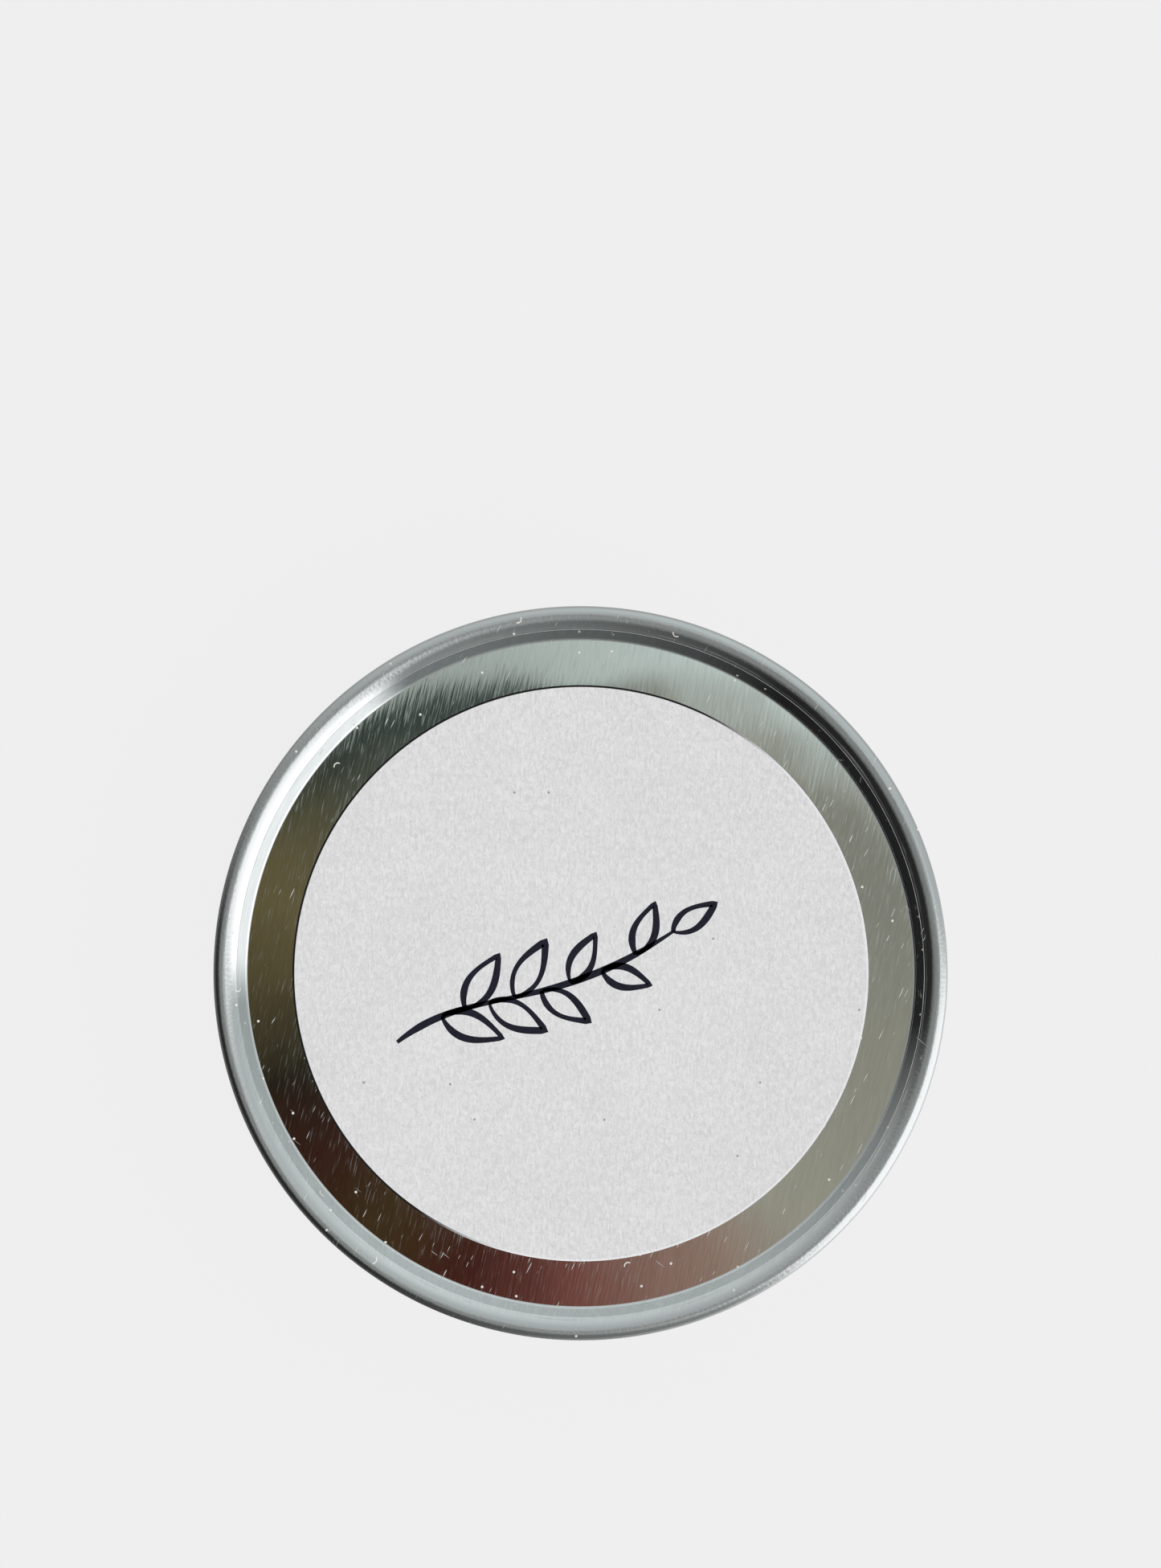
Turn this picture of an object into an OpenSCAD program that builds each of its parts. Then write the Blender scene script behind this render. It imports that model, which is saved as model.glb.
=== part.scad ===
// Round slip-lid candle tin: a drawn tinplate cup with a poured candle in it, closed by a push-on lid.
// The tin stands on the origin, its axis is Z, and every height below is measured from its foot.

/* [Tin] */
// Outside diameter of the cup's wall
cup_d = 78.9; // [70:0.1:100]
// Height of the closed tin, from its foot to the top of the lid's rim
total_h = 52; // [45:1:80]
// Thickness of the tinplate
tin_t = 0.28; // [0.2:0.01:0.3]
// Height of the raised centre of the base above the foot
base_rise = 0.9; // [0.6:0.1:1.5]
// How far the cup's curled rim stays below the top of the lid
rim_drop = 0.6; // [0.6:0.05:1]

/* [Lid] */
// Depth of the lid's skirt, down to its hem
skirt_h = 13; // [12.5:0.5:15]
// Gap between the hem and the cup's wall, at each side
lid_gap = 0.13; // [0.1:0.01:0.2]
// Width of the raised rim around the sunken panel
rim_w = 3.6; // [3.4:0.1:5]

/* [Labels] */
// Diameter of the round paper label on the lid
label_d = 63.5; // [30:0.5:63.5]
// Diameter of the plain paper label under the base
base_label_d = 50.8; // [25:0.1:52]
// Thickness of the label paper
paper_t = 0.15; // [0.08:0.01:0.2]

/* [Candle] */
// Depth of the wax surface below the cup's rim
headspace = 9.4; // [9:0.1:11.5]
// Length of wick that stands above the wax
wick_show = 6.35; // [3:0.05:6.35]
// Diameter of the braided wick
wick_d = 2.6; // [1.5:0.1:3]
// Diameter of the stiff core inside the braid
core_d = 1; // [0.5:0.1:1.2]
// Diameter of the wick's metal tab and of the foam sticker under it
tab_d = 20; // [12.5:0.5:25]
// Thickness of the tab's metal
tab_t = 0.3; // [0.2:0.05:0.4]
// Height of the crimped neck on the tab
neck_h = 6; // [3:0.5:9]
// Thickness of the foam sticker
sticker_t = 1; // [0.5:0.1:1.5]

/* [Hidden] */
$fn = 96;

// Gap left between pieces that are cast or pressed together
fit_gap = 0.03;
// Largest angle of one step along a bend
bend_step = 15;

// Bends are given at the middle of the sheet, and slopes are from the horizontal.
base_bend = 1;
base_slope = 30;
corner_bend = 2.4;
foot_w = 3;
bead_bend = 0.9;
bead_slope = 50;
bead_gap = 0.25;
curl_bend = 0.5;
curl_turn = 285;
hem_space = 0.16;
hem_rise = 2;
shoulder_bend = 0.85;
crown_bend = 1.6;
crown_slope = 48;
ledge_bend = 0.3;
ledge_slope = 25;
ledge_w = 0.1;
wall_slope = 62;
panel_bend = 0.5;
neck_bend = 0.6;

// A press line is the middle of a sheet, seen in the radius-height plane. It is made of moves:
// [length, 0] runs straight on, and [bend, angle] turns, to the left where the angle is positive.
// A place on the line is [radius, height, heading].
function moved(p, m) =
    let(side = sign(m[1]), heading = p[2] + m[1])
    m[1] == 0
        ? [p[0] + m[0] * cos(p[2]), p[1] + m[0] * sin(p[2]), p[2]]
        : [p[0] + side * m[0] * (sin(heading) - sin(p[2])),
           p[1] - side * m[0] * (cos(heading) - cos(p[2])),
           heading];

// Each bend is split into equal steps.
function step_count(m) = max(1, ceil(abs(m[1]) / bend_step));
function in_steps(moves) =
    [for (m = moves) for (i = [1 : step_count(m)]) [m[0], m[1] / step_count(m)]];

function press_line(start, moves) =
    let(steps = in_steps(moves), n = len(steps))
    [for (i = 0, p = start; i <= n; p = i < n ? moved(p, steps[i]) : p, i = i + 1) p];

function last(list) = list[len(list) - 1];
function reversed(list) = [for (i = [len(list) - 1 : -1 : 0]) list[i]];

// The points at a distance to the left of a line
function beside(line, distance) =
    [for (p = line) [p[0] - distance * sin(p[2]), p[1] + distance * cos(p[2])]];

// The outline of a sheet of one thickness along a line
function sheet(line, thickness) =
    concat(beside(line, thickness / 2), reversed(beside(line, -thickness / 2)));

// Cup: from the middle of the base out to the foot, up the wall past the stop bead, and round the curl
wall_r = (cup_d - tin_t) / 2;
foot_r = wall_r - corner_bend - foot_w;
base_ramp = (base_rise - 2 * base_bend * (1 - cos(base_slope))) / sin(base_slope);
base_run = 2 * base_bend * sin(base_slope) + base_ramp * cos(base_slope);
bead_h = 4 * bead_bend * sin(bead_slope);
bead_top = total_h - skirt_h - bead_gap;
rim_top = total_h - rim_drop;
curl_z = rim_top - tin_t / 2 - curl_bend;
cup_line = press_line([0, base_rise + tin_t / 2, 0], [
    [foot_r - base_run, 0],
    [base_bend, -base_slope],
    [base_ramp, 0],
    [base_bend, base_slope],
    [foot_w, 0],
    [corner_bend, 90],
    [bead_top - bead_h - corner_bend - tin_t / 2, 0],
    [bead_bend, -bead_slope],
    [bead_bend, 2 * bead_slope],
    [bead_bend, -bead_slope],
    [curl_z - bead_top, 0],
    [curl_bend, curl_turn]
]);

// Lid: from the cut edge inside the hem, round the fold, up the skirt, over the rim and down to the panel
hem_bend = (tin_t + hem_space) / 2;
hem_z = total_h - skirt_h + tin_t / 2 + hem_bend;
skirt_r = cup_d / 2 + lid_gap + tin_t / 2 + 2 * hem_bend;
panel_r = skirt_r + tin_t / 2 - rim_w;
lid_start = [skirt_r - 2 * hem_bend, hem_z + hem_rise, -90];
crown_moves = [
    [hem_rise, 0],
    [hem_bend, 180],
    [total_h - tin_t / 2 - shoulder_bend - hem_z, 0],
    [shoulder_bend, 90],
    [crown_bend, crown_slope],
    [ledge_bend, ledge_slope - crown_slope],
    [ledge_w, 0],
    [ledge_bend, wall_slope - ledge_slope]
];
crown_end = last(press_line(lid_start, crown_moves));
wall_len = (crown_end[0] - panel_r - panel_bend * sin(wall_slope)) / cos(wall_slope);
rim_line = press_line(lid_start, concat(crown_moves, [[wall_len, 0], [panel_bend, -wall_slope]]));
panel_z = last(rim_line)[1];
lid_line = concat(rim_line, [[0, panel_z, 180]]);

// Candle: the wax stands on the base, and the wick stands in its tab
floor_z = base_rise + tin_t;
wax_top = rim_top - headspace;
tab_z = floor_z + sticker_t;
neck_top = tab_z + neck_h;
wick_r = wick_d / 2;
neck_r = wick_r + fit_gap + tab_t / 2;
tab_line = press_line([tab_d / 2, tab_z + tab_t / 2, 180], [
    [tab_d / 2 - neck_r - neck_bend, 0],
    [neck_bend, -90],
    [neck_h - tab_t / 2 - neck_bend, 0]
]);

module turned(outline) {
    rotate_extrude()
        polygon(outline);
}

module tube(outer_r, inner_r, low, high) {
    turned([[inner_r, low], [outer_r, low], [outer_r, high], [inner_r, high]]);
}

// Drawn tinplate cup, with a raised base, a stop bead under the lid and a rim curled inwards
module tin_cup() {
    color("#b4b8b5")
        turned(sheet(cup_line, tin_t));
}

// Plain round paper label, stuck up inside the raised base
module base_label() {
    color("#e6e4de")
        translate([0, 0, base_rise - paper_t])
            cylinder(d = base_label_d, h = paper_t);
}

// Double-sided foam disc that holds the tab to the base
module wick_sticker() {
    color("#f4f4f0")
        translate([0, 0, floor_z])
            cylinder(d = tab_d, h = sticker_t);
}

// Pressed metal tab, with a neck that is crimped round the wick
module wick_tab() {
    color("#a8acae")
        turned(sheet(tab_line, tab_t));
}

// Stiff core that keeps the wick upright
module wick_core() {
    color("#d8d4c8")
        translate([0, 0, tab_z])
            cylinder(d = core_d, h = wax_top + wick_show - tab_z);
}

// Cotton braid around the core
module wick_braid() {
    color("#ece4cf")
        tube(wick_r, core_d / 2 + fit_gap, tab_z, wax_top + wick_show);
}

// Poured wax: it follows the inside of the cup, and closes around the sticker, the tab and the wick
module wax() {
    side = tin_t / 2 + fit_gap;
    against_cup = beside([for (p = cup_line) if (p[0] > tab_d / 2 && p[1] < wax_top) p], side);
    against_tab = reversed(beside(tab_line, -tab_t / 2 - fit_gap));
    color("#f0e8d4")
        turned(concat(
            [[tab_d / 2 + fit_gap, floor_z + fit_gap]],
            against_cup,
            [[wall_r - side, wax_top], [wick_r + fit_gap, wax_top], [wick_r + fit_gap, neck_top + fit_gap]],
            [[against_tab[0][0], neck_top + fit_gap]],
            against_tab,
            [[tab_d / 2 + fit_gap, last(against_tab)[1]]]
        ));
}

// Push-on tinplate lid, with a hemmed skirt, a rounded rim and a sunken panel
module lid() {
    color("#c3c7c4")
        turned(sheet(lid_line, tin_t));
}

// Round uncoated paper label on the lid's panel
module lid_label() {
    color("#e2e1df")
        translate([0, 0, panel_z + tin_t / 2])
            cylinder(d = label_d, h = paper_t);
}

tin_cup();
base_label();
wick_sticker();
wick_tab();
wick_core();
wick_braid();
wax();
lid();
lid_label();
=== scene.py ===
import math
import random

import bpy
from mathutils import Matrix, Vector


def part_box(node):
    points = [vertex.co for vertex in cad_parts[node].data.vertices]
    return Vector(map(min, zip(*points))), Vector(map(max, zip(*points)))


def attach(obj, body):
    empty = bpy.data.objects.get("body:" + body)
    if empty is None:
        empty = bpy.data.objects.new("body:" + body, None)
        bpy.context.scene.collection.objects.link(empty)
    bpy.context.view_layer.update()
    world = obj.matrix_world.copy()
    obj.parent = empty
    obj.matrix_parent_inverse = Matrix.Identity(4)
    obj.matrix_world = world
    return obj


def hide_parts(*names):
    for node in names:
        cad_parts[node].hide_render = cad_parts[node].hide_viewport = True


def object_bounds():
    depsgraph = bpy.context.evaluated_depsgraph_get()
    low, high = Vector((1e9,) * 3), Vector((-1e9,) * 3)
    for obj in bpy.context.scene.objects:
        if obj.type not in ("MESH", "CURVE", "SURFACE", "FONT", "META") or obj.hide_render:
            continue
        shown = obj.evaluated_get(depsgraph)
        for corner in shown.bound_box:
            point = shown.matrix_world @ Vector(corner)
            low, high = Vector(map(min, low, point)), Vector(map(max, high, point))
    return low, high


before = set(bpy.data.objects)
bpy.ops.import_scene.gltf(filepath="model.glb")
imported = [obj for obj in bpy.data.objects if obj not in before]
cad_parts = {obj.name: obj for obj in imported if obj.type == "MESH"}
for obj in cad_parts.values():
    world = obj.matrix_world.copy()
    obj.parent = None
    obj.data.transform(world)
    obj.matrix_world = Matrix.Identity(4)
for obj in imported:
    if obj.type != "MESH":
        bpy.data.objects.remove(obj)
cad_low, cad_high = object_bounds()
mm = 0.001


# ---------------------------------------------------------------------------------------------
# Camera. It hangs straight over the lid, a forearm's length up, as when a packed tin is shown
# from above. The label sets the lens, and the shift lets the tin lie low in the frame.
label_low, label_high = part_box("lid_label")
camera_rise = 300 * mm
label_share = 0.3676            # the label's width over the frame's height
tin_below_middle = 0.1207       # how far the tin lies under the frame's middle, over its height

lens = bpy.data.cameras.new("overhead")
lens.sensor_width = 36
lens.lens = lens.sensor_width * label_share * camera_rise / (label_high.x - label_low.x)
lens.shift_y = tin_below_middle
camera = bpy.data.objects.new("overhead", lens)
camera.location = (0, 0, label_high.z + camera_rise)
bpy.context.scene.collection.objects.link(camera)
bpy.context.scene.camera = camera
bpy.context.scene.view_settings.view_transform = "Standard"


# ---------------------------------------------------------------------------------------------
# Studio. The tin stands on a small round light table, which leaves hardly a shadow. The room
# round it has a tall window to the lower right, a pale ceiling and a dark corner to the left, and
# the bright metal takes its bands from them. A round cloth shade in muted browns and reds hangs
# right overhead.
def colour(code, strength=1.0):
    """An sRGB hex colour as linear red, green, blue and alpha."""
    parts = [int(code[i:i + 2], 16) / 255 for i in (1, 3, 5)]
    linear = [c / 12.92 if c <= 0.04045 else ((c + 0.055) / 1.055) ** 2.4 for c in parts]
    return (*[c * strength for c in linear], 1.0)


def node(tree, kind, settings=None, inputs=None):
    """Adds a node with its settings, and fills its inputs with values or links."""
    made = tree.nodes.new("ShaderNode" + kind)
    for name, value in (settings or {}).items():
        if name == "stops":
            ramp = made.color_ramp.elements
            ends = [ramp[0], ramp[-1]]
            for stop, (place, shade) in zip(ends, (value[0], value[-1])):
                stop.position, stop.color = place, shade
            for place, shade in value[1:-1]:
                ramp.new(place).color = shade
        else:
            setattr(made, name, value)
    for name, value in (inputs or {}).items():
        if isinstance(value, bpy.types.NodeSocket):
            tree.links.new(value, made.inputs[name])
        else:
            made.inputs[name].default_value = value
    return made


def material(name):
    """A new material with an empty tree and a Principled surface, and both of them."""
    made = bpy.data.materials.new(name)
    made.use_nodes = True
    made.node_tree.nodes.clear()
    surface = node(made.node_tree, "BsdfPrincipled")
    node(made.node_tree, "OutputMaterial", {}, {"Surface": surface.outputs[0]})
    return made, made.node_tree, surface


# The room's broad fields of tone, by direction in degrees from +X. Each ramp closes on itself.
walls = {
    -125: "#2a2a29", -75: "#8a8e8d", 10: "#c6cccc", 60: "#e2e9e9",
    120: "#d0d5d5", 152: "#9c9f9e", 172: "#2d2d2c",
}
floor = {
    -110: "#504f4e", -55: "#e4e6e5", -27: "#ffffff", 20: "#c2c6c4",
    120: "#bec2c0", 160: "#7c7e7d",
}
ceiling = {-100: "#9a9f9e", 0: "#d4dadb", 120: "#c6cccd", 155: "#959a97"}
shade_cloth = {
    -160: "#28241a", -145: "#3d231b", -128: "#45361e", -110: "#48231c",
    -90: "#7f4e47", -65: "#9f8678", -50: "#a6a495", 20: "#8e8e82",
    60: "#9a9a8c", 110: "#56605c", 140: "#4c5043", 166: "#6d6343",
}
upper_ceiling = {-180: "#adb7ae", 50: "#dfece8", 120: "#afb8b0"}
window_azimuth = -27
window_half = 28
window_strength = 1.55

world = bpy.data.worlds.new("room")
world.use_nodes = True
sky = world.node_tree
sky.nodes.clear()
bpy.context.scene.world = world
toward = node(sky, "TexCoord").outputs["Generated"]
parts = node(sky, "SeparateXYZ", {}, {0: toward}).outputs
turn = node(sky, "Math", {"operation": "ARCTAN2"}, {0: parts[1], 1: parts[0]}).outputs[0]
azimuth = node(sky, "MapRange", {}, {
    "Value": turn, "From Min": -math.pi, "From Max": math.pi}).outputs[0]
from_zenith = node(sky, "Math", {"operation": "ARCCOSINE"}, {0: parts[2]}).outputs[0]

fields = []
for band in (walls, ceiling, shade_cloth, upper_ceiling, floor):
    stops = [((degrees + 180) / 360, colour(code)) for degrees, code in band.items()]
    (first, from_shade), (last, to_shade) = stops[0], stops[-1]
    share = (1 - last) / (1 - last + first)
    seam = tuple(b + (a - b) * share for a, b in zip(from_shade, to_shade))
    stops = [(0, seam)] * (first > 0) + stops + [(1, seam)]
    fields.append(node(sky, "ValToRGB", {"stops": stops}, {0: azimuth}).outputs[0])
wall_tone, ceiling_tone, cloth_tone, upper_tone, floor_tone = fields

# The cloth shade hides the ceiling inside a round outline, hung a little off to one side. Its
# hem is crisp and edged with a dark green on the left, and hangs soft on the right.
shade_x, shade_y, shade_half = -0.009, -0.0563, 0.1655
crisp_edge, soft_edge, dark_edge = 0.002, 0.012, 0.019
across = node(sky, "Math", {"operation": "DIVIDE"}, {0: parts[0], 1: parts[2]}).outputs[0]
along = node(sky, "Math", {"operation": "DIVIDE"}, {0: parts[1], 1: parts[2]}).outputs[0]
flat = node(sky, "CombineXYZ", {}, {0: across, 1: along}).outputs[0]
apart = node(sky, "VectorMath", {"operation": "DISTANCE"}, {
    0: flat, 1: (shade_x, shade_y, 0)}).outputs["Value"]
edge = node(sky, "MapRange", {"interpolation_type": "SMOOTHSTEP"}, {
    "Value": across, "From Min": -0.01, "From Max": 0.06,
    "To Min": crisp_edge, "To Max": soft_edge}).outputs[0]
past = node(sky, "Math", {"operation": "SUBTRACT"}, {0: apart, 1: shade_half}).outputs[0]
outside = node(sky, "Math", {"operation": "DIVIDE"}, {0: past, 1: edge}).outputs[0]
outside = node(sky, "MapRange", {"interpolation_type": "SMOOTHSTEP"}, {
    "Value": outside, "From Min": -1, "From Max": 1}).outputs[0]
fringe = node(sky, "MapRange", {"interpolation_type": "SMOOTHSTEP"}, {
    "Value": past, "From Min": -dark_edge, "From Max": 0, "To Max": 0.9}).outputs[0]
leftward = node(sky, "MapRange", {"interpolation_type": "SMOOTHSTEP"}, {
    "Value": across, "From Min": 0.012, "From Max": -0.02}).outputs[0]
fringe = node(sky, "Math", {"operation": "MULTIPLY"}, {0: fringe, 1: leftward}).outputs[0]
top = node(sky, "Mix", {"data_type": "RGBA"}, {0: fringe, 6: cloth_tone, 7: colour("#1d2b28")}).outputs[2]
top = node(sky, "Mix", {"data_type": "RGBA"}, {0: outside, 6: top, 7: upper_tone}).outputs[2]

# Straight overhead the shade has a pale grey middle. Around the shade comes the ceiling, then the
# walls, and under the table's level the floor.
middle = node(sky, "MapRange", {"interpolation_type": "SMOOTHSTEP"}, {
    "Value": from_zenith, "From Min": math.radians(5.8), "From Max": math.radians(4.8)}).outputs[0]
top = node(sky, "Mix", {"data_type": "RGBA"}, {0: middle, 6: top, 7: colour("#b3b6b4")}).outputs[2]
over = node(sky, "MapRange", {"interpolation_type": "SMOOTHSTEP"}, {
    "Value": from_zenith, "From Min": math.radians(8.4), "From Max": math.radians(9.4)}).outputs[0]
room = node(sky, "Mix", {"data_type": "RGBA"}, {0: over, 6: top, 7: ceiling_tone}).outputs[2]
down = node(sky, "MapRange", {"interpolation_type": "SMOOTHSTEP"}, {
    "Value": from_zenith, "From Min": math.radians(26), "From Max": math.radians(48)}).outputs[0]
room = node(sky, "Mix", {"data_type": "RGBA"}, {0: down, 6: room, 7: wall_tone}).outputs[2]
below = node(sky, "MapRange", {"interpolation_type": "SMOOTHSTEP"}, {
    "Value": from_zenith, "From Min": math.radians(88), "From Max": math.radians(100)}).outputs[0]
room = node(sky, "Mix", {"data_type": "RGBA"}, {0: below, 6: room, 7: floor_tone}).outputs[2]

# The window is a soft-edged bright field, from just under the ceiling to its low sill.
aside = node(sky, "Math", {"operation": "SUBTRACT"}, {
    0: turn, 1: math.radians(window_azimuth)}).outputs[0]
aside = node(sky, "Math", {"operation": "ABSOLUTE"}, {0: aside}).outputs[0]
wide = node(sky, "MapRange", {"interpolation_type": "SMOOTHSTEP"}, {
    "Value": aside, "From Min": math.radians(window_half + 5),
    "From Max": math.radians(window_half - 5)}).outputs[0]
tall = node(sky, "MapRange", {"interpolation_type": "SMOOTHSTEP"}, {
    "Value": from_zenith, "From Min": math.radians(13), "From Max": math.radians(20)}).outputs[0]
sill = node(sky, "MapRange", {"interpolation_type": "SMOOTHSTEP"}, {
    "Value": from_zenith, "From Min": math.radians(116), "From Max": math.radians(104)}).outputs[0]
pane = node(sky, "Math", {"operation": "MULTIPLY"}, {0: wide, 1: tall}).outputs[0]
pane = node(sky, "Math", {"operation": "MULTIPLY"}, {0: pane, 1: sill}).outputs[0]
room = node(sky, "Mix", {"data_type": "RGBA"}, {
    0: pane, 6: room, 7: colour("#fdfeff", window_strength)}).outputs[2]

# Straight from the camera the room is the same plain pale tone as the light table.
backdrop = node(sky, "Background", {}, {0: colour("#efefef")}).outputs[0]
around = node(sky, "Background", {}, {0: room, 1: 1.0}).outputs[0]
seen = node(sky, "LightPath").outputs["Is Camera Ray"]
node(sky, "OutputWorld", {}, {0: node(sky, "MixShader", {}, {0: seen, 1: around, 2: backdrop}).outputs[0]})

# A broad soft lamp overhead lights the table, the paper and the wax, and leaves the metal alone.
lamp = bpy.data.lights.new("overhead_softbox", "SUN")
lamp.energy = 1.27
lamp.color = (1.0, 0.95, 0.98)
lamp.angle = math.radians(70)
softbox = bpy.data.objects.new("overhead_softbox", lamp)
softbox.rotation_euler = (math.radians(12), math.radians(14), 0)
softbox.visible_glossy = False
bpy.context.scene.collection.objects.link(softbox)

table_r = 80 * mm
table_steps = 128
shade = 0.04                    # how much of the table's brightness the tin can shade, beside it

turns = [math.tau * i / table_steps for i in range(table_steps)]
rim = [(table_r * math.cos(a), table_r * math.sin(a), cad_low.z) for a in turns]
table_mesh = bpy.data.meshes.new("light_table")
table_mesh.from_pydata(rim, [], [list(range(table_steps))])
table = bpy.data.objects.new("light_table", table_mesh)
bpy.context.scene.collection.objects.link(table)
opal, tree, surface = material("opal light table")
out = node(tree, "VectorMath", {"operation": "LENGTH"}, {
    0: node(tree, "TexCoord").outputs["Object"]}).outputs["Value"]
shaded = node(tree, "MapRange", {"interpolation_type": "SMOOTHSTEP"}, {
    "Value": out, "From Min": 46 * mm, "From Max": table_r, "To Min": shade, "To Max": 0}).outputs[0]
card = node(tree, "Mix", {"data_type": "RGBA"}, {0: shaded, 6: (0, 0, 0, 1), 7: colour("#efefef")}).outputs[2]
glow = node(tree, "Math", {"operation": "SUBTRACT"}, {0: 1.0, 1: shaded}).outputs[0]
tree.links.new(card, surface.inputs["Base Color"])
tree.links.new(glow, surface.inputs["Emission Strength"])
surface.inputs["Emission Color"].default_value = colour("#efefef")
surface.inputs["Roughness"].default_value = 0.9
surface.inputs["Specular IOR Level"].default_value = 0
table.data.materials.append(opal)


# ---------------------------------------------------------------------------------------------
# Tin cup. One deep drawing of bright tinplate: a raised base, a rounded corner, a straight wall
# with a stop bead rolled out of it, and a rim curled inwards. Bends are at the middle of the
# sheet, and the heights come from the frame.
def moved(place, move):
    """The place [radius, height, heading, length] after one move: a straight [length, 0] or a
    bend [radius, angle]."""
    r, z, heading, run = place
    size, angle = move
    a = math.radians(heading)
    if angle == 0:
        return [r + size * math.cos(a), z + size * math.sin(a), heading, run + size]
    b = math.radians(heading + angle)
    side = math.copysign(1, angle)
    return [r + side * size * (math.sin(b) - math.sin(a)),
            z - side * size * (math.cos(b) - math.cos(a)),
            heading + angle, run + size * abs(b - a)]


def press_line(start, moves, bend_step=5.0, straight_step=4 * mm):
    """The places along a line of straights and bends, each split into short equal steps."""
    places = [start]
    for size, angle in moves:
        count = max(1, math.ceil(abs(angle) / bend_step if angle else size / straight_step))
        for _ in range(count):
            places.append(moved(places[-1], [size, angle / count] if angle else [size / count, 0]))
    return places


def beside(place, angle, distance, from_axis=0.0):
    """The point at a distance from a place, at an angle from its heading, as [radius, height,
    normal r, normal z, length]."""
    r, z, heading, run = place
    a = math.radians(heading + angle)
    nr, nz = math.cos(a), math.sin(a)
    return [r + distance * nr, z + distance * nz, nr, nz, abs(run - from_axis)]


def sheet_section(line, thickness, from_axis=0.0):
    """The outline of a sheet along a line, with its cut edges rounded."""
    half = thickness / 2
    section = [beside(p, 90, half, from_axis) for p in line]
    if line[-1][0] > half:
        section += [beside(line[-1], angle, half, from_axis) for angle in (60, 30, 0, -30, -60)]
    section += [beside(p, -90, half, from_axis) for p in reversed(line)]
    if line[0][0] > half:
        section += [beside(line[0], angle, half, from_axis) for angle in (-120, -150, 180, 150, 120)]
    return section


def turned(name, section, steps=288):
    """A solid turned from a closed outline. Each point keeps where it lay on the flat blank."""
    points, normals, blank, rows, faces = [], [], [], [], []
    for r, z, nr, nz, run in section:
        if r < 1e-7:
            rows.append([len(points)] * steps)
            points.append((0, 0, z))
            normals.append((0, 0, math.copysign(1, nz)))
            blank.append((0, 0, 0))
            continue
        rows.append(range(len(points), len(points) + steps))
        for i in range(steps):
            c, s = math.cos(math.tau * i / steps), math.sin(math.tau * i / steps)
            points.append((r * c, r * s, z))
            normals.append((nr * c, nr * s, nz))
            blank.append((run * c, run * s, 0))
    for a, b in zip(rows, rows[1:] + rows[:1]):
        for i in range(steps):
            j = (i + 1) % steps
            corners = [a[i], a[j], b[j], b[i]]
            face = [c for k, c in enumerate(corners) if c != corners[k - 1]]
            if len(face) > 2:
                faces.append(face)
    mesh = bpy.data.meshes.new(name)
    mesh.from_pydata(points, [], faces)
    if sum(f.area * f.normal.dot(f.center) for f in mesh.polygons) < 0:
        mesh.flip_normals()
    mesh.shade_smooth()
    mesh.normals_split_custom_set_from_vertices(normals)
    on_blank = mesh.attributes.new("blank", "FLOAT_VECTOR", "POINT")
    on_blank.data.foreach_set("vector", [x for p in blank for x in p])
    made = bpy.data.objects.new(name, mesh)
    bpy.context.scene.collection.objects.link(made)
    return made


tin = 0.28 * mm
cup_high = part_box("tin_cup")[1]
lid_low, lid_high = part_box("lid")
wall_r = 78.9 * mm / 2 - tin / 2
base_rise, base_bend, base_slope = 0.9 * mm, 1 * mm, 30
corner_bend, foot_w = 2.4 * mm, 3 * mm
bead_bend, bead_slope, bead_gap = 0.9 * mm, 50, 0.25 * mm
curl_bend, curl_turn = 0.5 * mm, 285

foot_r = wall_r - corner_bend - foot_w
slope = math.radians(base_slope)
ramp = (base_rise - 2 * base_bend * (1 - math.cos(slope))) / math.sin(slope)
ramp_run = 2 * base_bend * math.sin(slope) + ramp * math.cos(slope)
bead_h = 4 * bead_bend * math.sin(math.radians(bead_slope))
bead_top = lid_low.z - bead_gap
curl_z = cup_high.z - tin / 2 - curl_bend
cup_line = press_line([0, base_rise + tin / 2, 0, 0], [
    [foot_r - ramp_run, 0],
    [base_bend, -base_slope],
    [ramp, 0],
    [base_bend, base_slope],
    [foot_w, 0],
    [corner_bend, 90],
    [bead_top - bead_h - corner_bend - tin / 2, 0],
    [bead_bend, -bead_slope],
    [bead_bend, 2 * bead_slope],
    [bead_bend, -bead_slope],
    [curl_z - bead_top, 0],
    [curl_bend, curl_turn],
])
cup = turned("cup_shell", sheet_section(cup_line, tin))

# Bright tinplate: steel strip with a flow-brightened tin coat. The strip's rolling lines run
# straight across the blank, so they smear reflections sideways and cut their edges into hairs.
# Where the sheet was drawn into a wall it is satin, with fine marks from the die up the wall, and
# the rolled rim has marks that run round it. Handling leaves short scratches, and a little dust
# lies on it. The real lines are about 0.05 mm apart, too fine to show, so each one drawn here
# stands for a few of them.
line_apart, line_long = 0.3 * mm, 3 * mm
streak_apart, streak_long = 1.2 * mm, 30 * mm
hair_apart, hair_long = 0.17 * mm, 2.5 * mm
die_apart, die_long = 0.4 * mm, 25 * mm
rim_apart, rim_turns = 0.3 * mm, 4
scratch_apart = 0.18 * mm
speck_apart, lint_apart = 3.5 * mm, 8 * mm
warp_apart = 17 * mm


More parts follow.
